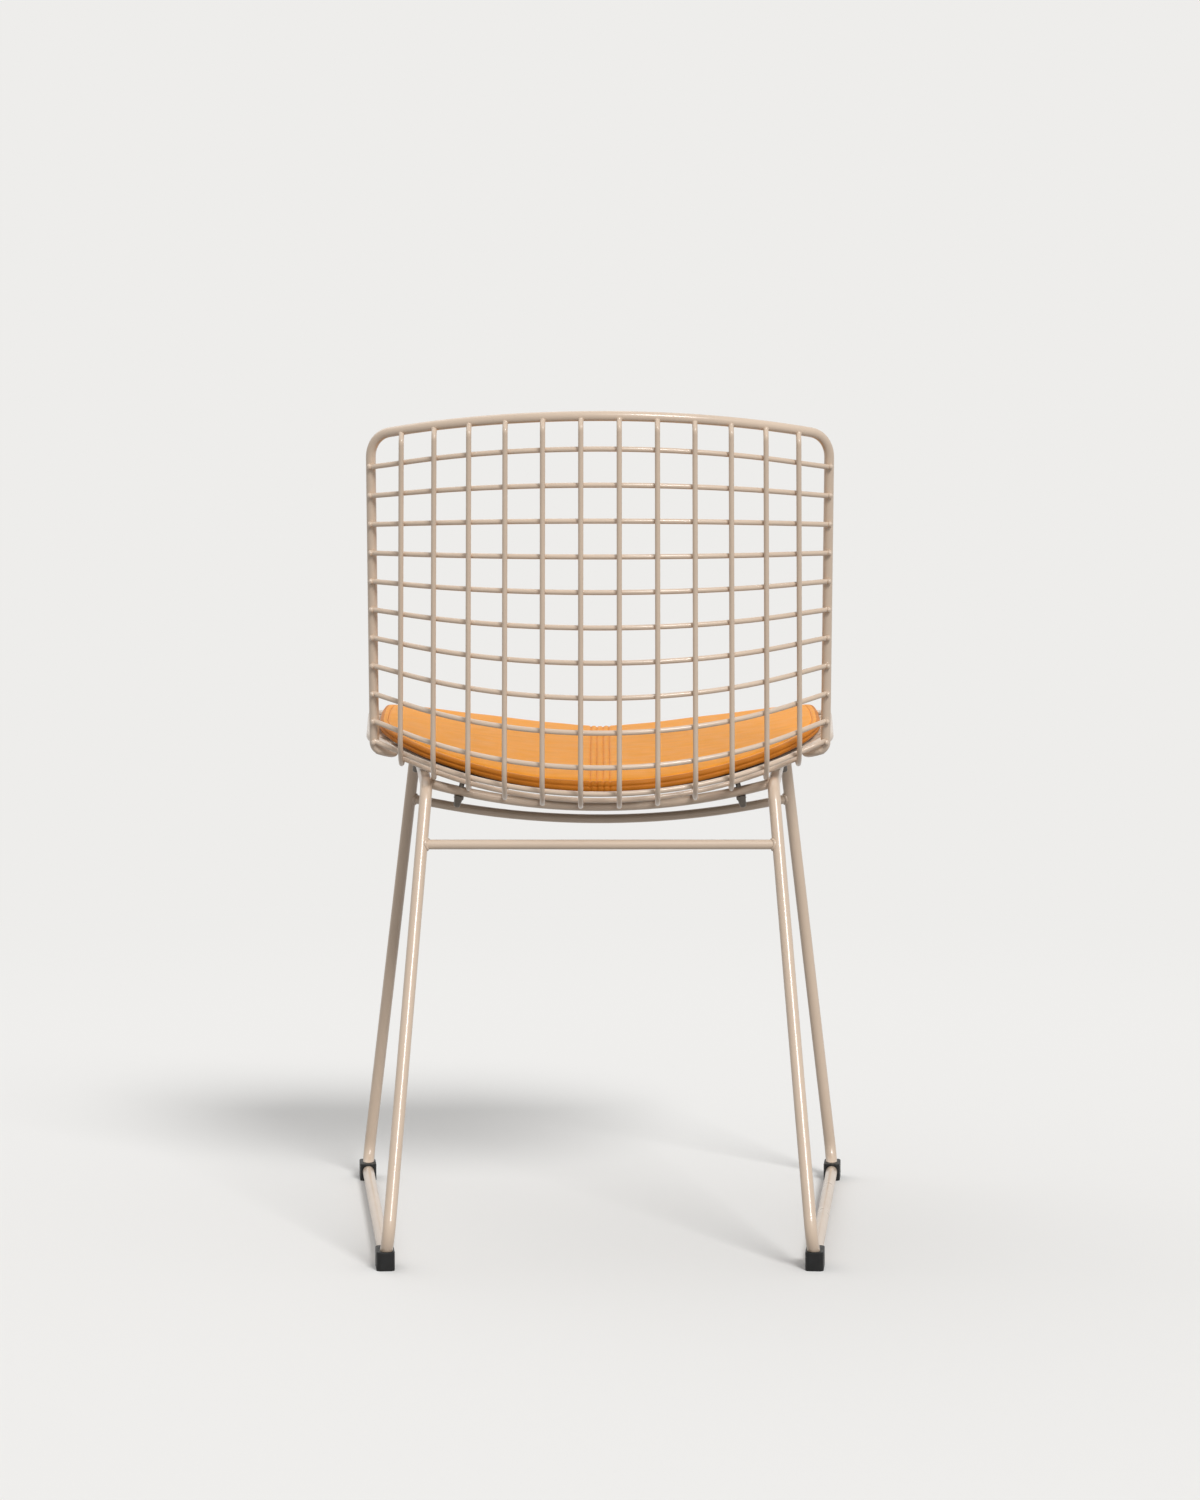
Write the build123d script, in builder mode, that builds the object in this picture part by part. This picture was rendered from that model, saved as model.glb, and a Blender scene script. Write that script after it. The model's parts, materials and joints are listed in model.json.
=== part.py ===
from build123d import *
import os
from math import asin, atan2, cos, hypot, radians, sin, sqrt, tan

os.makedirs("parts", exist_ok=True)

# A wire dining chair, in mm. It faces -Y, and +X is the sitter's left.
# The origin is on the floor, under the middle of the chair.

# Rods and wires
leg_d = 12.0  # side frames
bar_d = 9.5  # stretchers and support bar
rim_d = 9.5  # rim of the shell
wire_d = 5.0  # wires of the shell
weld_gap = 0.15  # room between pieces that are welded or laid together

# Shell, on the centre lines of its long wires at mid width
dish_r = 375.0  # curve of the back, seen from above
knee_y = 151.55  # where the lines of the back and the seat would meet
knee_z = 418.0
back_h = 366.0  # from there up to where the wires hook onto the top rail
back_lean = 13.0  # degrees from upright
seat_l = 392.0  # from there forward to where the wires hook onto the front rail
seat_rise = 6.2  # degrees up towards the front
bend_r = 45.0  # bend of the long wires between back and seat

# How the shell's edges rise, drop or bow towards its sides, per mm of the back's curve
top_drop = 0.22
knee_lift = 0.725
front_lift = 0.40
front_bow = 0.15

# Wires of the shell
wire_count = 12
top_pitch = 35.9  # between long wires, along the curve
knee_pitch = 37.2
front_pitch = 38.5
back_rows = 11  # cross wires from the top rail into the bend
seat_rows = 11  # cross wires from the end of the bend to the front rail
first_row_drop = 21.5  # from the long wires' upper hooks down to the first cross wire
last_row_gap = 16.0  # from the last cross wire to the long wires' front hooks
hook_r = 6.0  # bend at both ends of a long wire
row_lap = 5.0  # how far the back's cross wires pass behind the rim's axis
rim_pitches = 0.9  # pitches from the outermost long wires to the rim beside the back
row_arc = 3.5  # pitches from the middle to where a cross wire's middle arc ends

# Rim of the shell: half widths to its axis, and its bends
top_hook_y = 10.0  # the top rail's axis in front of and above the wires' hooks
top_hook_z = 11.1
front_hook_y = 10.0  # the front rail's axis, likewise
front_hook_z = 6.0
top_half_w = 219.5
low_half_w = 221.5
waist_half_w = 190.5
side_half_w = 229.0
front_half_w = 244.0
low_corner_y = 8.0  # the back's lower corner, in front of and above the knee line
low_corner_z = 5.5
waist_ahead = 5.6  # the waist, in front of the back's lower corner
waist_step = 2.0  # the rim's axis at the waist, above the seat's cross wires
side_ahead = 54.0  # where the rim has come out again, in front of the waist
top_corner_r = 28.0
low_corner_r = 9.0
waist_r = 18.0
side_r = 60.0
front_corner_r = 48.0
top_straight = 31.0  # straight ends of the top and front rails, before their corners
front_straight = 62.0
rim_arcs = 3  # tangent arcs in each half of the top and front rails
arc_share = 0.96  # radius of those arcs, as a share of the largest that fits

# Side frames: closed rod loops by their corner points, in a plane that leans in to the clamps
base_half_w = 225.05  # half width at mid depth, on the runners
toe_out = 5.95  # degrees that the runners open towards the front
front_foot_y = -240.45
rear_foot_y = 261.55
front_top_y = -171.45
rear_top_y = 87.55
foot_bend_r = 26.0
top_bend_r = 26.0
frame_drop = 8.8  # the top run's axis below the long wires' axes

# Bars of the base
rear_stretcher_z = 384.6
front_stretcher_z = 410.0
front_stretcher_dip = 22.0
support_gap = 0.4  # between the support bar and the long wires

# Glides
glide_w = 17.2
glide_l = 36.0
glide_h = 17.5
glide_sole = 3.5  # under the rod
glide_r = 4.5  # upright corners
glide_edge = 1.0
rear_glide_in = 10.0  # from the frame's corner point in to the glide's outer end
front_glide_in = -4.0

# Clamps that hold the shell to the base
rear_clamp_wire = 3.5  # pitches from the middle to the inner one of the two wires it holds
front_clamp_wire = 4.5
rear_clamp_share = 0.26  # where the bolt stands between them, from the inner one
front_clamp_share = 0.56
rear_clamp_row = 0  # the seat's cross wire just behind it
front_clamp_row = 5
bolt_d = 5.0
bolt_fit = 0.2  # room round the bolt in its holes
bolt_head_d = 9.0
bolt_head_h = 2.2
plate_t = 1.5
plate_w = 16.0
plate_over = 5.0  # past the wires at both ends
plate_r = 4.0
nut_af = 9.0  # across flats
nut_h = 3.0
cap_d = 8.4  # at the nut
cap_h = 8.5
cap_taper = 9.0  # degrees
cap_r = 2.2
cap_wall = 4.0  # from the bolt's end to the cap's top

# Seat pad
pad_rest = 0.6  # above the seat's cross wires
pad_base_t = 2.0
pad_base_inset = 5.0
pad_edge_t = 8.0
pad_bulge = 2.0  # how far the edge rounds out between its lower and upper seams
pad_crown = 8.0  # rise of the filling over the edge, in the middle of the pad's depth
pad_shoulder = 4.5  # rise of the filling so far in from the front and rear edges
pad_shoulder_l = 18.0
pad_channel = 4.0  # depth of the sewn middle strip below the filling
pad_channel_w = 34.0
pad_bridge = 7.5  # how far the halves' front edges stand off the wires, at mid width
pad_front_gap = 5.3  # to the front rail
pad_rear_y = 102.0
pad_rear_curve = 1.3  # the pad's rear edge against the back's curve
pad_half_w = 228.0  # at its widest
pad_wide_y = -168.45
pad_side_l = 190.0  # so far behind its widest, each side is narrower by the bow
pad_side_bow = 14.0
pad_corner_r = 45.0
pad_edge_r = 8.0  # over which the pad's sides thin out
pad_spans = 5  # sections in each half, up to where the sides thin out
pad_side_turns = (40, 70)  # degrees round the thinning side, of its last sections
pad_gap = 0.4  # between base and cover

leg_r = leg_d / 2
bar_r = bar_d / 2
rim_r = rim_d / 2
wire_r = wire_d / 2
row_level = wire_d + weld_gap
foot_z = glide_sole + leg_r
last_row = back_rows + seat_rows - 1
outer_wire = (wire_count - 1) / 2
sides = ("left", "right")


# Shape of the shell: its edges, its long wires and its cross wires
def sag(x):
    return dish_r - sqrt(dish_r**2 - x**2)


def across(pitches, pitch):
    return dish_r * sin(pitches * pitch / dish_r)


def top_edge(x, forward):
    y = knee_y + back_h * tan(radians(back_lean)) - forward
    return Vector(x, y, knee_z + back_h - top_drop * forward)


def knee_edge(x, forward):
    return Vector(x, knee_y - forward, knee_z + knee_lift * forward)


def front_edge(x, forward):
    z = knee_z + seat_l * tan(radians(seat_rise)) + front_lift * forward
    return Vector(x, knee_y - seat_l + front_bow * forward, z)


def top_rail(x, forward):
    return top_edge(x, forward) + Vector(0, -top_hook_y, top_hook_z)


def front_rail(x, forward):
    return front_edge(x, forward) + Vector(0, -front_hook_y, front_hook_z)


def wire_corners(pitches):
    """Upper hook, knee and front hook of the long wire so many pitches from the middle."""
    upper, knee, front = (across(pitches, pitch) for pitch in (top_pitch, knee_pitch, front_pitch))
    return top_edge(upper, sag(upper)), knee_edge(knee, sag(knee)), front_edge(front, sag(front))


def wire_lengths(pitches):
    """Straight back, bend and straight seat of a long wire, between its hooks."""
    upper, knee, front = wire_corners(pitches)
    turn = radians((knee - upper).get_angle(front - knee))
    cut = bend_r * tan(turn / 2)
    return (knee - upper).length - cut, bend_r * turn, (front - knee).length - cut


def wire_point(pitches, run):
    """Point on a long wire, run mm from its upper hook."""
    upper, knee, front = wire_corners(pitches)
    down = (knee - upper).normalized()
    ahead = (front - knee).normalized()
    inward = (ahead - down * down.dot(ahead)).normalized()
    back, bend, seat = wire_lengths(pitches)
    if run <= back:
        return upper + down * run
    if run >= back + bend:
        return front - ahead * (back + bend + seat - run)
    angle = (run - back) / bend_r
    return upper + down * (back + bend_r * sin(angle)) + inward * (bend_r * (1 - cos(angle)))


def row_run(pitches, row):
    """How far down a long wire a cross wire meets it. Row 0 is under the top rail."""
    back, bend, seat = wire_lengths(pitches)
    if row < back_rows:
        return first_row_drop + (back + bend - first_row_drop) * row / back_rows
    return back + bend + (seat - last_row_gap) * (row - back_rows) / (seat_rows - 1)


def row_point(pitches, row):
    """Point of a cross wire, laid on the sitter's side of the long wires."""
    step = 0.01
    run = row_run(pitches, row)
    on_wire = wire_point(pitches, run)
    along = wire_point(pitches, run + step) - on_wire
    sideways = wire_point(pitches + step, row_run(pitches + step, row)) - on_wire
    return on_wire + along.cross(sideways).normalized() * row_level


def seat_z(x, y):
    """Height of the long wires' axes under the seat."""
    knee = knee_edge(x, sag(x))
    front = front_edge(x, sag(x))
    return knee.Z + (front.Z - knee.Z) * (knee.Y - y) / (knee.Y - front.Y)


def between(start, end, share):
    return start + (end - start) * share


def on_rail(rail, radius, angle):
    return rail(radius * sin(angle), dish_r - radius * cos(angle))


def rail_turn(half_w, straight):
    """Angle of the back's curve where a rail's straight end begins."""
    return asin(half_w / hypot(dish_r, straight)) - atan2(straight, dish_r)


def rail_end(rail, half_w, straight):
    turn = rail_turn(half_w, straight)
    return rail(half_w, dish_r * (1 - cos(turn)) + straight * sin(turn))


def rail_bends(rail, half_w, straight):
    """Corners of the tangent lines along half of a rail, and the radii that round them."""
    step = rail_turn(half_w, straight) / rim_arcs
    bends = []
    for arc in range(rim_arcs):
        start = on_rail(rail, dish_r, step * arc)
        corner = on_rail(rail, dish_r / cos(step / 2), step * (arc + 0.5))
        end = on_rail(rail, dish_r, step * (arc + 1))
        room = min((corner - start).length, (end - corner).length)
        turn = radians((corner - start).get_angle(end - corner))
        bends.append((corner, arc_share * room / tan(turn / 2)))
    return bends


# Corner points of the rim's left half
rim_top = rail_end(top_rail, top_half_w, top_straight)
rim_low = knee_edge(low_half_w, sag(low_half_w)) + Vector(0, -low_corner_y, low_corner_z)
waist_y = rim_low.Y - waist_ahead
side_y = waist_y - side_ahead
rim_waist = Vector(waist_half_w, waist_y, seat_z(waist_half_w, waist_y) + row_level + waist_step)
rim_side = Vector(side_half_w, side_y, seat_z(side_half_w, side_y) + row_level)
rim_front = rail_end(front_rail, front_half_w, front_straight)


def back_rim_point(z):
    """Point on the rim's axis beside the back."""
    return between(rim_top, rim_low, (rim_top.Z - z) / (rim_top.Z - rim_low.Z))


def seat_rim_point(y):
    """Point on the rim's axis beside the seat."""
    if y > side_y:
        return between(rim_waist, rim_side, (waist_y - y) / (waist_y - side_y))
    past = max(0, rim_front.Y + front_corner_r - y)
    rounding = front_corner_r - sqrt(front_corner_r**2 - past**2)
    along = (side_y - y) / (side_y - rim_front.Y)
    return between(rim_side, rim_front, along) - Vector(rounding, 0, 0)


def row_end(row):
    """Where a cross wire meets the rim's left half."""
    if row < back_rows:
        return back_rim_point(row_point(outer_wire + rim_pitches, row).Z) + Vector(0, row_lap, 0)
    return seat_rim_point(row_point(outer_wire, row).Y)


def mirrored(point):
    return Vector(-point.X, point.Y, point.Z)


# The clamps stand between two long wires and two cross wires, over the support bar and over
# the frames' top runs
def clamp_wires(pitches, row):
    """Points of two neighbouring long wires, midway between two cross wires of the seat."""
    points = []
    for wire in (pitches, pitches + 1):
        behind, ahead = (row_run(wire, back_rows + row + step) for step in (0, 1))
        points.append(wire_point(wire, (behind + ahead) / 2))
    return points


def clamp_axis(pitches, row):
    """Direction of a clamp's bolt, up and square to the wires."""
    inner, outer = clamp_wires(pitches, row)
    knee, front = wire_corners(pitches)[1:]
    return (knee - front).cross(inner - outer).normalized()


rear_clamp = between(*clamp_wires(rear_clamp_wire, rear_clamp_row), rear_clamp_share)
front_clamp = between(*clamp_wires(front_clamp_wire, front_clamp_row), front_clamp_share)
under_clamp = front_clamp - clamp_axis(front_clamp_wire, front_clamp_row) * frame_drop


# Side frames, in the plane through the runners and the points under the front clamps
def runner_x(y):
    return base_half_w - y * tan(radians(toe_out))


def frame_point(y, z):
    lean = (runner_x(under_clamp.Y) - under_clamp.X) / (under_clamp.Z - foot_z)
    return Vector(runner_x(y) - (z - foot_z) * lean, y, z)


def frame_top(y):
    """Corner of a side frame under the seat, found from the height of the wires there."""
    z = knee_z
    for _ in range(6):
        z = seat_z(frame_point(y, z).X, y) - frame_drop
    return frame_point(y, z)


front_foot = frame_point(front_foot_y, foot_z)
rear_foot = frame_point(rear_foot_y, foot_z)
front_top = frame_top(front_top_y)
rear_top = frame_top(rear_top_y)


def at_height(start, end, z):
    return between(start, end, (z - start.Z) / (end.Z - start.Z))


def top_run_point(y):
    return between(rear_top, front_top, (rear_top_y - y) / (rear_top_y - front_top_y))


support_end = top_run_point(rear_clamp.Y)
support_z = seat_z(0, rear_clamp.Y) - wire_r - bar_r - support_gap
support_mid = Vector(0, rear_clamp.Y, support_z)


def support_point(x):
    """Point on the axis of the support bar, an arc through its ends and its middle."""
    rise = support_end.Z - support_mid.Z
    radius = (support_end.X**2 + rise**2) / (2 * rise)
    return support_mid + Vector(x, 0, radius - sqrt(radius**2 - x**2))


def clamp_frame(carrier, carrier_r, pitches, row):
    """Plane of a clamp on its carrier's axis, the carrier's radius, and the two wires in it."""
    inner, outer = clamp_wires(pitches, row)
    plane = Plane(origin=carrier, x_dir=outer - inner, z_dir=clamp_axis(pitches, row))
    return plane, carrier_r, plane.to_local_coords(inner), plane.to_local_coords(outer)


clamp_frames = {
    "rear": clamp_frame(support_point(rear_clamp.X), bar_r, rear_clamp_wire, rear_clamp_row),
    "front": clamp_frame(top_run_point(front_clamp.Y), leg_r, front_clamp_wire, front_clamp_row),
}


# Outline and underside of the seat pad, seen from above
def pad_rear(x, inset):
    """Where the pad ends at the rear, so far from the middle."""
    rear = pad_rear_y - pad_rear_curve * sag(x)
    side = pad_wide_y + pad_side_l * sqrt((pad_half_w - inset - x) / pad_side_bow)
    return min(rear - inset, side)


def pad_front(x, inset):
    """Where the pad ends at the front, with its rounded corners."""
    corner_x = pad_half_w - pad_corner_r
    front = front_rail(0, sag(min(x, corner_x))).Y + rim_r + pad_front_gap + inset
    radius = pad_corner_r - inset
    past = max(0, x - corner_x)
    return front + radius - sqrt(radius**2 - past**2)


def pad_floor(x, y):
    """Height of the pad's underside: it lies on the cross wires in the middle and at its sides."""
    step = 0.5
    slope_x = (seat_z(x + step, y) - seat_z(x - step, y)) / (2 * step)
    slope_y = (seat_z(x, y + step) - seat_z(x, y - step)) / (2 * step)
    on_rows = seat_z(x, y) + (row_level + wire_r) * hypot(1, slope_x, slope_y) + pad_rest
    out = x / pad_half_w
    return on_rows + 4 * pad_bridge * out * (1 - out) * (pad_rear_y - y) / seat_l


# Building blocks
def save(part, name):
    part.label = name
    export_step(part, f"parts/{name}.step")


def handed(part, side):
    """A left piece as it is, or its mirror image for the right side."""
    return part if side == "left" else mirror(part, about=Plane.YZ)


def rod(path, diameter, cut_by):
    """A round rod along a path, cut where it meets the pieces that it is welded to."""
    with BuildPart() as piece:
        with BuildSketch(Plane(origin=path @ 0, z_dir=path % 0)):
            Circle(diameter / 2)
        sweep(path=path)
        for solid in cut_by:
            add(solid, mode=Mode.SUBTRACT)
    return piece.part


def rim(diameter):
    top_bends = rail_bends(top_rail, top_half_w, top_straight)
    front_bends = rail_bends(front_rail, front_half_w, front_straight)
    side_bends = [
        (rim_top, top_corner_r),
        (rim_low, low_corner_r),
        (rim_waist, waist_r),
        (rim_side, side_r),
        (rim_front, front_corner_r),
    ]
    bends = top_bends + side_bends + front_bends[::-1]
    corners = [corner for corner, radius in bends]
    with BuildLine() as path:
        FilletPolyline(
            top_rail(0, 0), *corners, front_rail(0, 0), radius=[radius for corner, radius in bends]
        )
    with BuildPart() as loop:
        with BuildSketch(Plane(origin=path.wire() @ 0, z_dir=path.wire() % 0)):
            Circle(diameter / 2)
        sweep(path=path.wire())
        mirror(about=Plane.YZ)
    return loop.part


def side_frame(diameter):
    """The left side frame: two bent halves, joined on the runner and on the top run."""
    top_mid = between(rear_top, front_top, 0.5)
    foot_mid = between(rear_foot, front_foot, 0.5)
    with BuildPart() as loop:
        for foot, top in ((front_foot, front_top), (rear_foot, rear_top)):
            with BuildLine() as path:
                FilletPolyline(foot_mid, foot, top, top_mid, radius=[foot_bend_r, top_bend_r])
            with BuildSketch(Plane(origin=foot_mid, z_dir=foot - foot_mid)):
                Circle(diameter / 2)
            sweep(path=path.wire())
    return loop.part


def pad_top(rear, front, x):
    """Lines over the pad's filling in one section: a flat arc between two shoulders."""
    fullness = sqrt(1 - (x / pad_half_w) ** 2)
    sunk = pad_channel if x == 0 else 0
    shoulder_share = pad_shoulder_l / (front - rear).length
    shoulder_rise = Vector(0, pad_shoulder * fullness - sunk)
    shoulder_rear = between(rear, front, shoulder_share) + shoulder_rise
    shoulder_front = between(front, rear, shoulder_share) + shoulder_rise
    middle = between(rear, front, 0.5) + Vector(0, pad_crown * fullness - sunk)
    crown = ThreePointArc(shoulder_rear, middle, shoulder_front)
    TangentArc(crown @ 0, rear, tangent=(crown % 0) * -1)
    TangentArc(crown @ 1, front, tangent=crown % 1)


def pad_corners(x, inset, bulge, level):
    """Lower rear and lower front corners of a section of the pad."""
    rear = pad_rear(x, inset) - bulge
    front = pad_front(x, inset) + bulge
    return Vector(rear, pad_floor(x, rear) + level), Vector(front, pad_floor(x, front) + level)


def pad_base():
    """The underside: two halves that fold in the middle, each a loft of upright sections."""
    flat_w = pad_half_w - pad_base_inset - pad_edge_r
    up = Vector(0, pad_base_t)
    with BuildPart() as base:
        for span in range(pad_spans + 1):
            x = flat_w * span / pad_spans
            rear, front = pad_corners(x, pad_base_inset, 0, 0)
            with BuildSketch(Plane.YZ.offset(x)):
                with BuildLine():
                    Polyline(rear, front, front + up, rear + up, close=True)
                make_face()
        loft()
        mirror(about=Plane.YZ)
    return base.part


def pad_cover():
    """The filled cover, in two halves likewise, with thin sides and a sewn channel between."""
    flat_w = pad_half_w - pad_edge_r
    sections = [(flat_w * span / pad_spans, 1) for span in range(pad_spans + 1)]
    sections.insert(1, (pad_channel_w / 2, 1))
    for turn in pad_side_turns:
        sections.append((flat_w + pad_edge_r * sin(radians(turn)), cos(radians(turn))))
    with BuildPart() as cover:
        for x, share in sections:
            up = Vector(0, pad_edge_t * share)
            level = pad_base_t + pad_gap + pad_edge_t * (1 - share) / 2
            rear, front = pad_corners(x, 0, pad_bulge * share, level)
            out = Vector(pad_bulge * share, 0)
            with BuildSketch(Plane.YZ.offset(x)):
                with BuildLine():
                    Line(front, rear)
                    ThreePointArc(rear, rear + up / 2 + out, rear + up)
                    pad_top(rear + up, front + up, x)
                    ThreePointArc(front + up, front + up / 2 - out, front)
                make_face()
        loft()
        mirror(about=Plane.YZ)
    return cover.part


shell_rim = rim(rim_d)
rim_room = rim(rim_d + 2 * weld_gap)
save(shell_rim, "shell_rim")

for index in range(wire_count):
    pitches = index - outer_wire
    upper, knee, front = wire_corners(pitches)
    with BuildLine() as wire_path:
        FilletPolyline(
            upper + Vector(0, -top_hook_y, top_hook_z),
            upper,
            knee,
            front,
            front + Vector(0, -front_hook_y, front_hook_z),
            radius=[hook_r, bend_r, hook_r],
        )
    save(rod(wire_path.wire(), wire_d, [rim_room]), f"long_wire_{index + 1:02d}")

for row in range(last_row + 1):
    end = row_end(row)
    with BuildLine() as row_path:
        middle = ThreePointArc(row_point(-row_arc, row), row_point(0, row), row_point(row_arc, row))
        for start, tangent, side in ((middle @ 1, middle % 1, 1), (middle @ 0, (middle % 0) * -1, -1)):
            outer = TangentArc(start, row_point(side * outer_wire, row), tangent=tangent)
            TangentArc(outer @ 1, end if side > 0 else mirrored(end), tangent=outer % 1)
    group = "back" if row < back_rows else "seat"
    number = row + 1 if row < back_rows else row + 1 - back_rows
    save(rod(row_path.wire(), wire_d, [rim_room]), f"{group}_cross_wire_{number:02d}")

# Clamps: plates over two long wires, bolts down through the base, and cap nuts under it
hole_d = bolt_d + bolt_fit
with BuildPart() as clamp_holes:
    for plane, carrier_r, inner, outer in clamp_frames.values():
        with BuildSketch(plane):
            Circle(hole_d / 2)
        extrude(amount=leg_d, both=True)
    mirror(about=Plane.YZ)

for place, (plane, carrier_r, inner, outer) in clamp_frames.items():
    with BuildPart() as clamp_plate:
        with BuildSketch(plane.offset(inner.Z + wire_r + weld_gap)) as plate_face:
            with Locations(((inner.X + outer.X) / 2, (inner.Y + outer.Y) / 2)):
                Rectangle(outer.X - inner.X + 2 * plate_over, plate_w)
            fillet(plate_face.vertices(), plate_r)
            Circle(hole_d / 2, mode=Mode.SUBTRACT)
        extrude(amount=plate_t)
    for side in sides:
        save(handed(clamp_plate.part, side), f"{place}_{side}_clamp_plate")

with BuildPart() as clamp_bolts:
    for plane, carrier_r, inner, outer in clamp_frames.values():
        head_z = inner.Z + wire_r + plate_t + 2 * weld_gap
        end_z = -carrier_r - weld_gap - nut_h - cap_h + cap_wall
        with BuildSketch(plane.offset(head_z)):
            Circle(bolt_head_d / 2)
        extrude(amount=bolt_head_h)
        with BuildSketch(plane.offset(end_z)):
            Circle(bolt_d / 2)
        extrude(amount=head_z - end_z)
    mirror(about=Plane.YZ)
save(clamp_bolts.part, "clamp_bolts")

with BuildPart() as clamp_nuts:
    for plane, carrier_r, inner, outer in clamp_frames.values():
        with BuildSketch(plane.offset(-carrier_r - weld_gap)):
            RegularPolygon(nut_af / 2, 6, major_radius=False)
        extrude(amount=-nut_h)
        with BuildSketch(plane.offset(-carrier_r - weld_gap - nut_h)):
            Circle(cap_d / 2)
        extrude(amount=-cap_h, taper=cap_taper)
        cap_top = plane.offset(-carrier_r - weld_gap - nut_h - cap_h)
        rounds = clamp_nuts.edges().filter_by(GeomType.CIRCLE)
        fillet(rounds.sort_by_distance(cap_top.origin)[0], cap_r)
        with BuildSketch(cap_top.offset(cap_wall - weld_gap)):
            Circle(hole_d / 2)
        extrude(amount=nut_h + cap_h, mode=Mode.SUBTRACT)
    mirror(about=Plane.YZ)
save(clamp_nuts.part, "clamp_nuts")

# Base
left_frame = side_frame(leg_d)
left_room = side_frame(leg_d + 2 * weld_gap)
frame_rooms = [handed(left_room, side) for side in sides]
for side in sides:
    with BuildPart() as drilled_frame:
        add(handed(left_frame, side))
        add(clamp_holes.part, mode=Mode.SUBTRACT)
    save(drilled_frame.part, f"{side}_side_frame")

rear_end = at_height(rear_foot, rear_top, rear_stretcher_z)
front_end = at_height(front_foot, front_top, front_stretcher_z)
front_mid = Vector(0, front_end.Y, front_stretcher_z - front_stretcher_dip)
with BuildLine() as rear_path:
    Line(rear_end, mirrored(rear_end))
with BuildLine() as front_path:
    ThreePointArc(front_end, front_mid, mirrored(front_end))
with BuildLine() as support_path:
    ThreePointArc(support_end, support_mid, mirrored(support_end))
save(rod(rear_path.wire(), bar_d, frame_rooms), "rear_stretcher")
save(rod(front_path.wire(), bar_d, frame_rooms), "front_stretcher")
save(rod(support_path.wire(), bar_d, frame_rooms + [clamp_holes.part]), "support_bar")

# Glides, round the lower bends of the side frames
runner = (rear_foot - front_foot).normalized()
glide_centres = {
    "rear": rear_foot - runner * (rear_glide_in + glide_l / 2),
    "front": front_foot + runner * (front_glide_in + glide_l / 2),
}
for place, centre in glide_centres.items():
    with BuildPart() as glide:
        with BuildSketch(Plane(origin=(centre.X, centre.Y, 0), x_dir=runner)) as glide_face:
            Rectangle(glide_l, glide_w)
            fillet(glide_face.vertices(), glide_r)
        extrude(amount=glide_h)
        fillet(glide.edges().group_by(Axis.Z)[-1], glide_edge)
        add(left_room, mode=Mode.SUBTRACT)
    for side in sides:
        save(handed(glide.part, side), f"{place}_{side}_glide")

# Seat pad: a thin underside, and the cover with its filling over it
save(pad_base(), "seat_pad_base")
save(pad_cover(), "seat_pad_cover")
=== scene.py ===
import json
from math import cos, pi, radians, sin

import bmesh
import bpy
import numpy as np
from mathutils import Matrix, Vector, geometry, noise
from mathutils.bvhtree import BVHTree


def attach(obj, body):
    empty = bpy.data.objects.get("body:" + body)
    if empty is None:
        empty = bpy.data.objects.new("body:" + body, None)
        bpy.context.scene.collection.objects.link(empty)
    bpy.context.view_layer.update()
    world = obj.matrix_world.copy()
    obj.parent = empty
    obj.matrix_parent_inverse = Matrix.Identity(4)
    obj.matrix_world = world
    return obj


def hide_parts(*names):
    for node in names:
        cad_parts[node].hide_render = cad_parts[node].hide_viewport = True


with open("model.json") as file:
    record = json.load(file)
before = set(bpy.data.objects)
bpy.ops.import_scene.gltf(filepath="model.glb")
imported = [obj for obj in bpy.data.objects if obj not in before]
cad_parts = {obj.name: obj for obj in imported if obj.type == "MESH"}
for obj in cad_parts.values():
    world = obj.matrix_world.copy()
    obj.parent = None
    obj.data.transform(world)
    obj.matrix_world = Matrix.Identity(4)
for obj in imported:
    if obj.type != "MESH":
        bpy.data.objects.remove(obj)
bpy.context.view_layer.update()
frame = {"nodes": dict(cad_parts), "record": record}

# View: level, from behind, with the picture shifted down
camera_back = 3.3516
camera_height = 0.651
camera_lens = 80.16  # mm, on a long side of 36 mm
camera_shift = -0.12  # of the picture's long side

# Colours, linear
sand = (0.66, 0.52, 0.40)
tan_light = (0.95, 0.375, 0.036)
# The colour of faint dark patches on the top, and of the side wall, where it is painted shade
tan_dark_patch_and_wall_shade = (0.62, 0.205, 0.016)
tan_thread = (0.62, 0.235, 0.045)
# Felt under the pad: its near-black tone is partly the felt's own and partly painted shade under the pad
felt_brown_and_shade = (0.045, 0.030, 0.022)
zinc = (0.135, 0.120, 0.105)
black = (0.006, 0.006, 0.006)
white = (1, 1, 1)
backdrop = (0.855, 0.847, 0.831)
floor_bounce = (0.30, 0.29, 0.28)  # what the floor sends back at the chair

# Light: degrees to the right of the camera and above the floor, strength, and degrees across
key_light = (23, 37, 2.05, 18)
fill_light = (-140, 50, 0.5, 60)
lamp_away = 4.0
world_strength = 0.50
floor_half = 12.0
floor_lit = 1.5  # the floor takes light up to here, and is plain backdrop from the next on
floor_plain = 3.0

# Welds
bead_w = 0.0030  # half width and half length of a bead on a wire's end
bead_l = 0.0026
bead_fine = 2  # times that a bead's faces are divided
tip_l = 0.0012  # part of a wire's end that gives its middle
tip_run = 0.014  # part that gives its direction
long_wire_top = (0, -0.67, 0.74)  # directions of a long wire's ends
long_wire_front = (0, -0.86, 0.51)
seam_r = 0.0016  # weld seams round the bars' ends
seam_steps = 40
seam_sides = 8
bar_end = 0.012  # part of a bar's end that gives its middle
weld_rough = 0.00035  # how far the welds' surface wavers
weld_grain = 620.0

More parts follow.
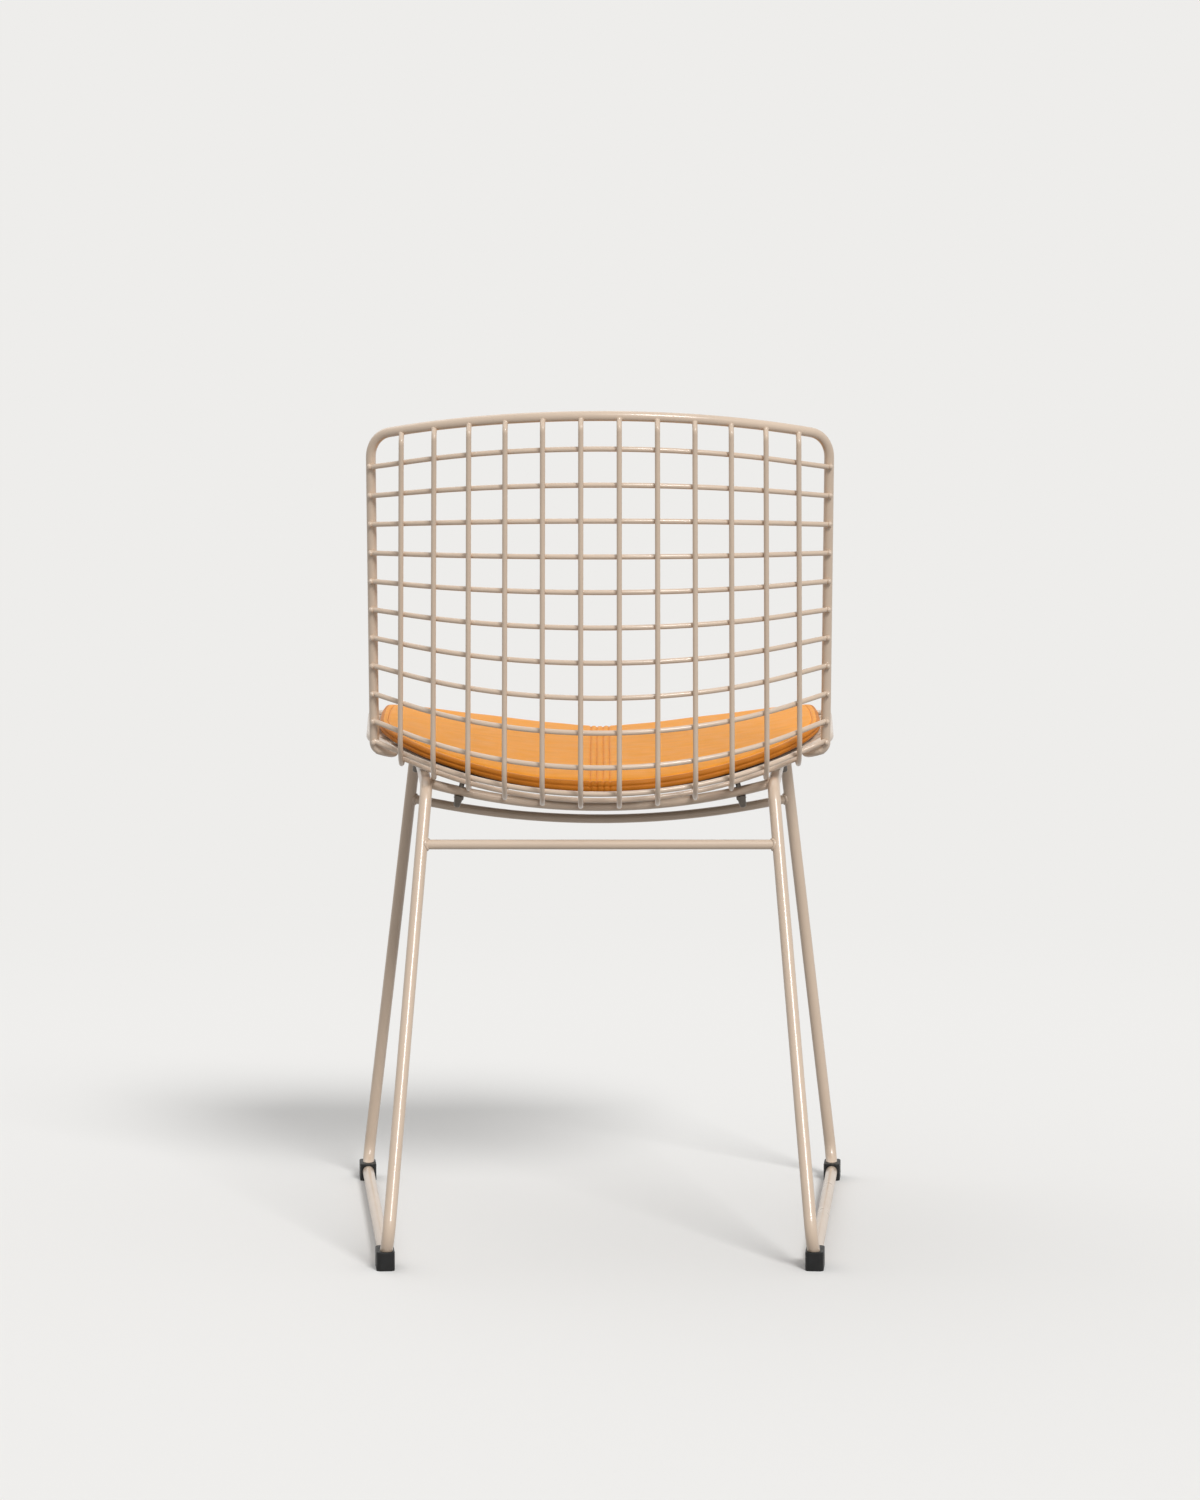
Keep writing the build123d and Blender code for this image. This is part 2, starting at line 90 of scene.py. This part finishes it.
# Seat pad: how its shape is read from the frame
outline_step = 0.0021
outline_fine = 0.0006  # beside the middle strip
outline_smooth = 0.004
cast_height = 1.0  # above every piece
probe_r = 0.0025  # heights are means over patches of this half width
edge_gap = 0.45  # part of a pitch that stays free inside a ring of points
slice_points = 400  # points in one table of distances
same_point = 1e-7
fill_inside = 1  # the kind of triangulation that keeps what lies inside its edges

# Seat pad: side wall, edge seam and swell of the leather
edge_inset = 0.0040  # the upper and lower edges of the side wall, inside its bulge
wall_steps = 18
wall_power = 3  # 2 makes the bulge an ellipse, and more makes it squarer
fold_at = 0.5  # the fold between the two layers of the wall, in shares of its height
fold_w = 0.07
fold_depth = 0.0014
seam_inset = 0.0085
seam_w = 0.0011
seam_depth = 0.0011
seam_rings = (-0.0037, -0.0027, -0.0017, -0.0010, -0.0005, 0, 0.0005, 0.0010, 0.0020, 0.0035)  # off the seam
inner_inset = 0.014  # where the rings along the edge end
top_pitch = 0.0036  # between points of the upper side, and of the lower
low_pitch = 0.012
puff = 0.0016  # how far the leather swells inside its seam
puff_run = 0.018
ripple = 0.00035
ripple_scale = (22, 55)  # ripples are longer across the pad than along it
channel_half = 0.024  # the pad's middle, which its filling lifts
channel_fill = 0.7

# Seat pad: middle strip, stitches and felt
strip_lines = (-0.0095, -0.0032, 0.0032, 0.0095)  # stitched lines of the middle strip
strip_w = 0.0011
strip_depth = 0.0014
strip_puff = 0.0005
strip_fine = 0.0135  # half width of the finer mesh
stitch_pitch = 0.0046
stitch_l = 0.0033
stitch_d = 0.0008
stitch_lift = 0.2  # of its diameter, above the leather
stitch_fine = 1
felt_columns = 0.008
felt_round = 0.0006
felt_flat = 3 * felt_round  # where the felt's upper and lower sides begin
# Insets of the rings round the felt's edge, and their shares of its height
felt_edge = ((felt_flat, 0.0), (felt_round, 0.04), (0.0, 0.3), (0.0, 0.7), (felt_round, 0.96), (felt_flat, 1.0))

mix_share, mix_first, mix_second, mix_result = 0, 6, 7, 2  # places of the Mix node's sockets for colours


# Materials
def put(tree, socket, value):
    """Links an input to another node's output, or sets it to a constant."""
    if isinstance(value, bpy.types.NodeSocket):
        tree.links.new(value, socket)
    else:
        socket.default_value = value


def add_node(tree, kind, **inputs):
    """A shader node and its inputs, with _ for each space in their names."""
    made = tree.nodes.new(kind)
    for key, value in inputs.items():
        put(tree, made.inputs[key.replace("_", " ")], value)
    return made


def opaque(colour):
    return (*colour, 1)


def shade(colour, factor):
    return tuple(channel * factor for channel in colour)


class Shader:
    """A Principled material, with short calls for the nodes that lead into it."""

    def __init__(self, name, **inputs):
        self.material = bpy.data.materials.new(name)
        self.material.use_nodes = True
        self.tree = self.material.node_tree
        self.surface = self.tree.nodes["Principled BSDF"]
        for key, value in inputs.items():
            self.surface.inputs[key.replace("_", " ")].default_value = value
        self.place = self.node("ShaderNodeTexCoord").outputs["Object"]

    def node(self, kind, **inputs):
        return add_node(self.tree, kind, **inputs)

    def into(self, key, socket):
        """Leads a value into one of the Principled shader's own inputs."""
        self.tree.links.new(socket, self.surface.inputs[key])

    def stretched(self, scale):
        """The piece's coordinates, scaled along each axis."""
        return self.node("ShaderNodeMapping", Vector=self.place, Scale=scale).outputs["Vector"]

    def noise(self, scale=1, detail=4.0, place=None):
        made = self.node("ShaderNodeTexNoise", Vector=place or self.place, Scale=scale, Detail=detail)
        return made.outputs["Fac"]

    def cells(self, scale):
        return self.node("ShaderNodeTexVoronoi", Vector=self.place, Scale=scale).outputs["Distance"]

    def span(self, value, low, high, low_in=0.3, high_in=0.7):
        """A value, mapped from the range that it comes in to a new one."""
        made = self.node("ShaderNodeMapRange", Value=value, From_Min=low_in, From_Max=high_in,
                         To_Min=low, To_Max=high)
        return made.outputs["Result"]

    def blend(self, share, first, second):
        """A mix of two colours. Each is a constant or comes from a node."""
        made = self.node("ShaderNodeMix")
        made.data_type = "RGBA"
        put(self.tree, made.inputs[mix_share], share)
        for place, colour in ((mix_first, first), (mix_second, second)):
            constant = isinstance(colour, tuple)
            put(self.tree, made.inputs[place], opaque(colour) if constant else colour)
        return made.outputs[mix_result]

    def bump(self, height, strength, distance, under=None):
        """A normal that a height tilts, on top of the normal under it."""
        made = self.node("ShaderNodeBump", Height=height, Strength=strength, Distance=distance)
        if under:
            self.tree.links.new(under, made.inputs["Normal"])
        return made.outputs["Normal"]


def powder_coat():
    made = Shader("sand_powder_coat", Coat_Weight=0.4, Coat_Roughness=0.14)
    cloudy = made.span(made.noise(scale=7), 0, 1)
    made.into("Base Color", made.blend(cloudy, shade(sand, 0.95), shade(sand, 1.05)))
    made.into("Roughness", made.span(made.noise(scale=40), 0.27, 0.36))
    made.into("Normal", made.bump(made.noise(scale=850, detail=2), strength=0.10, distance=0.0004))
    return made.material


def leather(name, light, dark):
    """Leather with streaks across the pad, faint dark patches, and grain over soft creases."""
    made = Shader(name, Specular_IOR_Level=0.22)
    streaks = made.span(made.noise(detail=5, place=made.stretched((26, 150, 60))), 0, 1, 0.32, 0.70)
    patches = made.span(made.noise(scale=11), 0, 1)
    colour = made.blend(streaks, light, shade(light, 0.92))
    made.into("Base Color", made.blend(made.span(patches, 0, 0.12, 0, 1), colour, dark))
    made.into("Roughness", made.span(made.noise(scale=60), 0.46, 0.60))
    creases = made.bump(streaks, strength=0.14, distance=0.0006)
    made.into("Normal", made.bump(made.cells(scale=620), strength=0.34, distance=0.0005, under=creases))
    return made.material


def thread_material():
    made = Shader("waxed_thread", Roughness=0.55)
    twist = made.noise(detail=2, place=made.stretched((1500, 600, 600)))
    made.into("Base Color", made.blend(made.span(twist, 0, 1), shade(tan_thread, 0.8), shade(tan_thread, 1.2)))
    made.into("Normal", made.bump(twist, strength=0.4, distance=0.0002))
    return made.material


# Dark felt under the cover, partly real and partly painted shade under the pad
def felt():
    made = Shader("brown_felt_and_painted_shade", Roughness=0.95, Sheen_Weight=0.3)
    fibres = made.noise(scale=1400, detail=6)
    made.into("Base Color", made.blend(made.span(fibres, 0, 1), shade(felt_brown_and_shade, 0.7), shade(felt_brown_and_shade, 1.4)))
    made.into("Normal", made.bump(fibres, strength=0.6, distance=0.0008))
    return made.material


def zinc_plate():
    made = Shader("dark_zinc", Metallic=0.9)
    brushed = made.noise(detail=3, place=made.stretched((120, 2200, 2200)))
    made.into("Base Color", made.blend(made.span(brushed, 0, 1), shade(zinc, 0.85), shade(zinc, 1.15)))
    made.into("Roughness", made.span(brushed, 0.30, 0.45))
    made.into("Normal", made.bump(brushed, strength=0.08, distance=0.0002))
    return made.material


def moulded_plastic():
    made = Shader("black_plastic", Specular_IOR_Level=0.3)
    cloudy = made.span(made.noise(scale=90), 0, 1)
    made.into("Base Color", made.blend(cloudy, black, shade(black, 2.2)))
    made.into("Roughness", made.span(made.noise(scale=220), 0.42, 0.58))
    made.into("Normal", made.bump(made.cells(scale=1500), strength=0.25, distance=0.0003))
    return made.material


coat = powder_coat()
leather_top = leather("tan_leather", tan_light, tan_dark_patch_and_wall_shade)
# The side wall's leather is a darker copy of the top's: painted shade
wall_leather_painted_shade = leather("tan_leather_side_painted_shade", tan_dark_patch_and_wall_shade, shade(tan_dark_patch_and_wall_shade, 0.7))
underside = felt()
slot_materials = {
    "frame_coat": coat,
    "fittings": zinc_plate(),
    "glides": moulded_plastic(),
    "pad_leather": leather_top,
    "pad_underside": underside,
}
slots = {part["node"]: part["material_slot"] for part in frame["record"]["subparts"]}
for name, node in frame["nodes"].items():
    for material_slot in node.material_slots:
        material_slot.material = slot_materials[slots[name]]


# Pieces
def add_piece(name, made, body, slot, *materials):
    """A smooth piece from a bmesh, which is freed."""
    mesh = bpy.data.meshes.new(name)
    made.to_mesh(mesh)
    made.free()
    piece = bpy.data.objects.new(name, mesh)
    bpy.context.scene.collection.objects.link(piece)
    for material in materials:
        mesh.materials.append(material)
    for face in mesh.polygons:
        face.use_smooth = True
    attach(piece, body)
    return piece


def node_points(node):
    return np.array([tuple(vertex.co) for vertex in frame["nodes"][node].data.vertices])


def skin(made, rings, closed=False):
    """Bands of faces from each ring of points to the next. Returns the rings' vertices."""
    loops = [[made.verts.new(point) for point in ring] for ring in rings]
    following = loops[1:] + (loops[:1] if closed else [])
    for lower, upper in zip(loops, following):
        for i in range(len(lower)):
            j = (i + 1) % len(lower)
            made.faces.new((lower[i], lower[j], upper[j], upper[i]))
    return loops


def add_ball(made, middle, along, half_w, half_l, fineness):
    """A ball that is longer or shorter along one direction."""
    turn = along.to_track_quat("Z", "Y").to_matrix().to_4x4()
    place = Matrix.Translation(middle) @ turn @ Matrix.Diagonal((half_w, half_w, half_l, 1))
    bmesh.ops.create_icosphere(made, subdivisions=fineness, radius=1, matrix=place)


# Welds: beads on the wires' ends, and seams round the ends of the bars
def add_bead(made, points, heading):
    """A bead on the end of a wire that reaches furthest along a heading."""
    reach = points @ np.array(heading)
    tip = points[reach > reach.max() - tip_l].mean(axis=0)
    far = np.linalg.norm(points - tip, axis=1)
    behind = points[(far < tip_run) & (reach < reach.max() - 2 * tip_l)].mean(axis=0)
    add_ball(made, tip, Vector(tip - behind), bead_w, bead_l, bead_fine)


def bar_frame(points, side):
    """A bar's end in axes along and across it: its points off their middle, the middle, and the axes."""
    reach = points[:, 0] * side
    end = points[reach > reach.max() - bar_end]
    behind = points[(reach > reach.max() - 4 * bar_end) & (reach < reach.max() - 2 * bar_end)]
    along = Vector(end.mean(axis=0) - behind.mean(axis=0)) if len(behind) else Vector((side, 0, 0))
    along.normalize()
    across = along.cross(Vector((0, 0, 1))).normalized()
    axes = np.array([along, across, along.cross(across)])
    local = end @ axes.T
    middle = (local.max(axis=0) + local.min(axis=0)) / 2
    return local - middle, middle, axes


def add_seam(made, points, side):
    """A weld seam round the end of a bar, along the edge where it meets a leg."""
    local, middle, axes = bar_frame(points, side)
    angles = np.arctan2(local[:, 2], local[:, 1])
    bar_r = np.hypot(local[:, 1], local[:, 2]).max()
    steps = np.linspace(-pi, pi, seam_steps, endpoint=False)
    apart = abs((angles[None, :] - steps[:, None] + pi) % (2 * pi) - pi)
    edge = np.where(apart < 2 * pi / seam_steps, local[None, :, 0], -1).max(axis=1)
    rings = []
    for turn in np.linspace(0, 2 * pi, seam_sides, endpoint=False):
        radius = bar_r + seam_r * cos(turn)
        ring = np.column_stack([edge + seam_r * sin(turn), radius * np.cos(steps), radius * np.sin(steps)])
        rings.append((ring + middle) @ axes)
    skin(made, rings, closed=True)


def weld_beads():
    made = bmesh.new()
    for node in (name for name in frame["nodes"] if "wire" in name):
        points = node_points(node)
        if "cross_wire" in node:
            for side in (-1, 1):
                add_bead(made, points, (side, 0, 0))
        else:
            middle = (points.min(axis=0) + points.max(axis=0)) / 2
            add_bead(made, points[points[:, 2] > middle[2]], long_wire_top)
            add_bead(made, points[points[:, 1] < middle[1]], long_wire_front)
    for node in ("rear_stretcher", "front_stretcher", "support_bar"):
        for side in (-1, 1):
            add_seam(made, node_points(node), side)
    bmesh.ops.recalc_face_normals(made, faces=made.faces)
    made.normal_update()
    for vert in made.verts:
        vert.co += vert.normal * weld_rough * noise.noise(vert.co * weld_grain)
    return made


add_piece("weld_beads", weld_beads(), "chair_frame", "frame_coat", coat)


# The pad's shape is read from the frame: its outline, and the heights of its upper and lower sides
def height_over(node, upward):
    """Height of a CAD node's upper or lower side at given points, as a mean over a small patch."""
    mesh = frame["nodes"][node].data
    tree = BVHTree.FromPolygons([v.co for v in mesh.vertices], [face.vertices[:] for face in mesh.polygons])
    start = cast_height if upward else 0
    way = Vector((0, 0, -1 if upward else 1))
    patch = [(dx, dy) for dx in (-probe_r, 0, probe_r) for dy in (-probe_r, 0, probe_r)]

    def cast(x, y):
        hit = tree.ray_cast(Vector((x, y, start)), way)[0]
        return hit.z if hit else np.nan

    def heights(points):
        return np.nanmean([[cast(x + dx, y + dy) for dx, dy in patch] for x, y in points], axis=1)

    return heights


def spread(line, weights):
    """Points along a closed line, closer together where the weights are larger."""
    closed = np.vstack([line, line[:1]])
    steps = np.linalg.norm(np.diff(closed, axis=0), axis=1) * weights
    run = np.concatenate([[0], np.cumsum(steps)])
    at = np.linspace(0, run[-1], round(run[-1]), endpoint=False)
    return np.stack([np.interp(at, run, closed[:, axis]) for axis in (0, 1)], axis=1)


def plan_outline(node):
    """Outline of a CAD node seen from above, smoothed, and finer beside the middle strip."""
    points = [Vector(point[:2]) for point in node_points(node)]
    hull = np.array([tuple(points[i]) for i in geometry.convex_hull_2d(points)])
    line = spread(hull, 1 / outline_fine)
    wave = np.fft.fftfreq(len(line), d=outline_fine)
    soft = np.exp(-2 * (pi * outline_smooth * wave) ** 2)
    curve = np.fft.ifft(np.fft.fft(line[:, 0] + 1j * line[:, 1]) * soft)
    line = np.column_stack([curve.real, curve.imag])
    return spread(line, np.where(abs(line[:, 0]) < strip_fine, 1 / outline_fine, 1 / outline_step))


def inward(line):
    """Unit normals of a closed outline, towards its inside."""
    along = np.roll(line, -1, axis=0) - np.roll(line, 1, axis=0)
    normal = np.stack([-along[:, 1], along[:, 0]], axis=1)
    normal /= np.linalg.norm(normal, axis=1, keepdims=True)
    return normal * np.sign(((line.mean(axis=0) - line) * normal).sum())


def edge_distance(points, line):
    """Distance of each point to an outline, in slices that keep the tables small."""
    return np.concatenate([
        np.sqrt(((part[:, None, :] - line[None, :, :]) ** 2).sum(axis=2).min(axis=1))
        for part in np.array_split(points, max(1, len(points) // slice_points))
    ])


def inside(point, ring):
    """Whether a point lies inside a convex ring."""
    after = np.roll(ring, -1, axis=0) - ring
    towards = point - ring
    turn = after[:, 0] * towards[:, 1] - after[:, 1] * towards[:, 0]
    return bool((turn > 0).all() or (turn < 0).all())


def lattice(ring, columns, pitch):
    """Points inside a ring, on given columns and at a steady pitch along them."""
    low, high = ring.min(axis=0), ring.max(axis=0)
    grid = np.array([(x, y) for x in columns for y in np.arange(low[1], high[1], pitch)])
    grid = grid[[inside(point, ring) for point in grid]]
    return grid[edge_distance(grid, ring) > pitch * edge_gap]


def filled(ring, grid):
    """Triangles of a ring's inside, through the grid's points. The ring's points come first."""
    points = [Vector(point) for point in np.vstack([ring, grid])]
    edges = [(i, (i + 1) % len(ring)) for i in range(len(ring))]
    plan, _, faces, *_ = geometry.delaunay_2d_cdt(points, edges, [], fill_inside, same_point)
    return np.array([tuple(point) for point in plan]), [tuple(face) for face in faces]


def close_side(made, loop, plan, heights, faces):
    """Closes a loop of vertices with the triangles that fill it."""
    verts = loop + [made.verts.new((*point, z)) for point, z in zip(plan, heights)][len(loop):]
    for face in faces:
        made.faces.new([verts[i] for i in face])


def finish_mesh(made):
    """Drops the vertices that no face uses, and turns all faces outwards."""
    bmesh.ops.delete(made, geom=[vert for vert in made.verts if not vert.link_faces], context="VERTS")
    bmesh.ops.recalc_face_normals(made, faces=made.faces)


cover_line = plan_outline("seat_pad_cover")
cover_in = inward(cover_line)
cover_half_w = cover_line[:, 0].max()
cover_top = height_over("seat_pad_cover", True)
cover_low = height_over("seat_pad_cover", False)
strip_edge = strip_lines[-1] + strip_w


def groove(distance, width, depth):
    return depth * np.exp(-((distance / width) ** 2))


def strip_grooves(x):
    return sum(groove(x - line_x, strip_w, strip_depth) for line_x in strip_lines)


def off_edge(points, inset):
    """The points, moved in to where the cover's sides are whole."""
    away = points - cover_line.mean(axis=0)
    towards = -away / np.maximum(np.linalg.norm(away, axis=1, keepdims=True), edge_inset)
    return points + np.clip(2 * edge_inset - inset, 0, None)[:, None] * towards


def leather_height(points, inset):
    """Height of the pad's upper side, with its seams, its swell and its slight ripples."""
    x = points[:, 0]
    whole = off_edge(points, inset)
    beside = np.column_stack([np.copysign(np.maximum(abs(whole[:, 0]), channel_half), x), whole[:, 1]])
    height = cover_top(whole) * (1 - channel_fill) + cover_top(beside) * channel_fill
    height -= groove(inset - seam_inset, seam_w, seam_depth)
    past_seam = np.clip(inset - seam_inset, 0, None)
    height += puff * (1 - np.exp(-past_seam / puff_run))
    height += strip_puff * np.clip(1 - abs(x) / strip_edge, 0, 1) ** 0.5 - strip_grooves(x)
    height += ripple * np.array([noise.noise(Vector((*point, 0))) for point in points * ripple_scale])
    return height


def ring_at(inset):
    return cover_line + cover_in * inset


def even(inset):
    """The same inset for each point of a ring."""
    return np.full(len(cover_line), inset)


def wall_inset(share):
    """How far the side wall stands inside its bulge, at a share of its height."""
    away = abs(2 * share - 1)
    bulge = (1 - away ** wall_power) ** (1 / wall_power)
    return edge_inset * (1 - bulge) + groove(share - fold_at, fold_w, fold_depth)


def cover_rings():
    """Rings of points up the side wall, and on over the edge seam."""
    low = cover_low(off_edge(ring_at(edge_inset), even(edge_inset)))
    high = leather_height(ring_at(edge_inset), even(edge_inset))
    pinch = strip_grooves(cover_line[:, 0])
    rings = []
    for step in range(wall_steps + 1):
        share = (1 - cos(pi * step / wall_steps)) / 2
        ring = cover_line + cover_in * (wall_inset(share) + pinch)[:, None]
        rings.append(np.column_stack([ring, low + (high - low) * share]))
    for inset in [seam_inset + offset for offset in seam_rings] + [inner_inset]:
        rings.append(np.column_stack([ring_at(inset), leather_height(ring_at(inset), even(inset))]))
    return rings


def pad_cover():
    """The leather cover: a side wall in two layers, a seam inside its edge, and a filled crown."""
    made = bmesh.new()
    rings = cover_rings()
    loops = skin(made, rings)
    made.faces.ensure_lookup_table()
    for face in made.faces[:wall_steps * len(cover_line)]:
        face.material_index = 1  # the wall's leather, darker with painted shade

    fine = np.arange(-strip_fine, strip_fine, outline_fine)
    coarse = np.arange(strip_fine + outline_step, cover_half_w, 2 * outline_step)
    ring = ring_at(inner_inset)
    plan, faces = filled(ring, lattice(ring, np.concatenate([-coarse, fine, coarse]), top_pitch))
    close_side(made, loops[-1], plan, leather_height(plan, edge_distance(plan, cover_line)), faces)

    columns = np.arange(-cover_half_w, cover_half_w, low_pitch)
    ring = rings[0][:, :2]
    plan, faces = filled(ring, lattice(ring, columns, low_pitch))
    close_side(made, loops[0], plan, cover_low(off_edge(plan, edge_distance(plan, cover_line))), faces)
    finish_mesh(made)
    return made


def pad_underside():
    """The felt under the cover, as a thin sheet with rounded edges."""
    line = plan_outline("seat_pad_base")
    normals = inward(line)
    top, low = height_over("seat_pad_base", True), height_over("seat_pad_base", False)
    near, far = line + normals * 2 * probe_r, line + normals * 4 * probe_r
    floor, roof = (2 * side(near) - side(far) for side in (low, top))  # the edge goes on along the slope
    made = bmesh.new()
    loops = skin(made, [
        np.column_stack([line + normals * inset, floor + (roof - floor) * share])
        for inset, share in felt_edge
    ])
    ring = line + normals * felt_flat
    columns = np.arange(ring[:, 0].min(), ring[:, 0].max(), felt_columns)
    plan, faces = filled(ring, lattice(ring, columns, low_pitch))
    for surface, loop in ((low, loops[0]), (top, loops[-1])):
        close_side(made, loop, plan, surface(plan), faces)
    finish_mesh(made)
    return made


def stitch_run(made, points):
    """Stitches along a line on the pad's upper side, each a slim bead of thread."""
    run = np.concatenate([[0], np.cumsum(np.linalg.norm(np.diff(points, axis=0), axis=1))])
    starts = np.arange(0, run[-1] - stitch_l, stitch_pitch)
    ends = []
    for at in (starts, starts + stitch_l):
        plan = np.stack([np.interp(at, run, points[:, axis]) for axis in (0, 1)], axis=1)
        heights = leather_height(plan, edge_distance(plan, cover_line))
        ends.append([Vector((*point, z + stitch_d * stitch_lift)) for point, z in zip(plan, heights)])
    for start, end in zip(*ends):
        along = end - start
        add_ball(made, (start + end) / 2, along, stitch_d / 2, along.length / 2, stitch_fine)


def pad_stitches():
    made = bmesh.new()
    seam = ring_at(seam_inset)
    stitch_run(made, np.vstack([seam, seam[:1]]))
    low_y, high_y = cover_line[:, 1].min() + seam_inset, cover_line[:, 1].max() - seam_inset
    for line_x in strip_lines:
        stitch_run(made, np.array([(line_x, high_y), (line_x, low_y)]))
    return made


pad = add_piece("seat_pad", pad_cover(), "seat_pad", "pad_leather", leather_top, wall_leather_painted_shade)
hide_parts("seat_pad_cover")
pad_felt = add_piece("seat_pad_underside", pad_underside(), "seat_pad", "pad_underside", underside)
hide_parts("seat_pad_base")
add_piece("seat_pad_stitches", pad_stitches(), "seat_pad", "pad_leather", thread_material())


# Stage: a pale floor that fades into the backdrop, a soft key light and an even fill
def seen_rays(tree):
    """1 for the rays that show a surface, straight or in a reflection, and 0 for those that light others."""
    path = add_node(tree, "ShaderNodeLightPath")
    seen = path.outputs["Is Camera Ray"]
    for kind in ("Is Glossy Ray", "Is Transmission Ray"):
        either = add_node(tree, "ShaderNodeMath")
        either.operation = "MAXIMUM"
        tree.links.new(seen, either.inputs[0])
        tree.links.new(path.outputs[kind], either.inputs[1])
        seen = either.outputs[0]
    return seen


def mixed(tree, share, first, second):
    """A mix of two shaders."""
    mix = add_node(tree, "ShaderNodeMixShader")
    for socket, value in zip(mix.inputs, (share, first.outputs[0], second.outputs[0])):
        tree.links.new(value, socket)
    return mix


def floor_material():
    """A floor that is lit near the chair and plain further out, and lights the chair less than it shows."""
    material = bpy.data.materials.new("floor")
    material.use_nodes = True
    tree = material.node_tree
    tree.nodes.remove(tree.nodes["Principled BSDF"])
    lit = add_node(tree, "ShaderNodeBsdfDiffuse", Color=opaque(backdrop))
    plain = add_node(tree, "ShaderNodeEmission", Color=opaque(backdrop))
    bounce = add_node(tree, "ShaderNodeBsdfDiffuse", Color=opaque(floor_bounce))
    place = add_node(tree, "ShaderNodeTexCoord")
    away = add_node(tree, "ShaderNodeVectorMath")
    away.operation = "LENGTH"
    tree.links.new(place.outputs["Object"], away.inputs[0])
    fade = add_node(tree, "ShaderNodeMapRange", Value=away.outputs["Value"], From_Min=floor_lit,
                    From_Max=floor_plain)
    fade.interpolation_type = "SMOOTHSTEP"
    shown = mixed(tree, fade.outputs["Result"], lit, plain)
    surface = mixed(tree, seen_rays(tree), bounce, shown)
    tree.links.new(surface.outputs[0], tree.nodes["Material Output"].inputs["Surface"])
    return material


def stage_floor():
    mesh = bpy.data.meshes.new("floor")
    corners = [(x * floor_half, y * floor_half, 0) for x, y in ((-1, -1), (1, -1), (1, 1), (-1, 1))]
    mesh.from_pydata(corners, [], [(0, 1, 2, 3)])
    mesh.materials.append(floor_material())
    floor = bpy.data.objects.new("floor", mesh)
    bpy.context.scene.collection.objects.link(floor)


def stage_world():
    world = bpy.data.worlds.new("studio")
    world.use_nodes = True
    tree = world.node_tree
    light = tree.nodes["Background"]
    light.inputs["Strength"].default_value = world_strength
    light.inputs["Color"].default_value = opaque(white)
    seen = add_node(tree, "ShaderNodeBackground", Color=opaque(backdrop))
    surface = mixed(tree, seen_rays(tree), light, seen)
    tree.links.new(surface.outputs[0], tree.nodes["World Output"].inputs["Surface"])
    bpy.context.scene.world = world


def sun_light(name, side, height, strength, across):
    data = bpy.data.lights.new(name, "SUN")
    data.energy = strength
    data.angle = radians(across)
    level = cos(radians(height))
    towards = Vector((-level * sin(radians(side)), level * cos(radians(side)), sin(radians(height))))
    lamp = bpy.data.objects.new(name, data)
    lamp.location = towards * lamp_away
    lamp.rotation_euler = towards.to_track_quat("Z", "Y").to_euler()
    bpy.context.scene.collection.objects.link(lamp)


stage_floor()
stage_world()
sun_light("key", *key_light)
sun_light("fill", *fill_light)

camera_data = bpy.data.cameras.new("camera")
camera_data.lens = camera_lens
camera_data.shift_y = camera_shift
camera = bpy.data.objects.new("camera", camera_data)
camera.location = (0, camera_back, camera_height)
camera.rotation_euler = (pi / 2, 0, pi)
bpy.context.scene.collection.objects.link(camera)
bpy.context.scene.camera = camera
bpy.context.scene.view_settings.view_transform = "Standard"
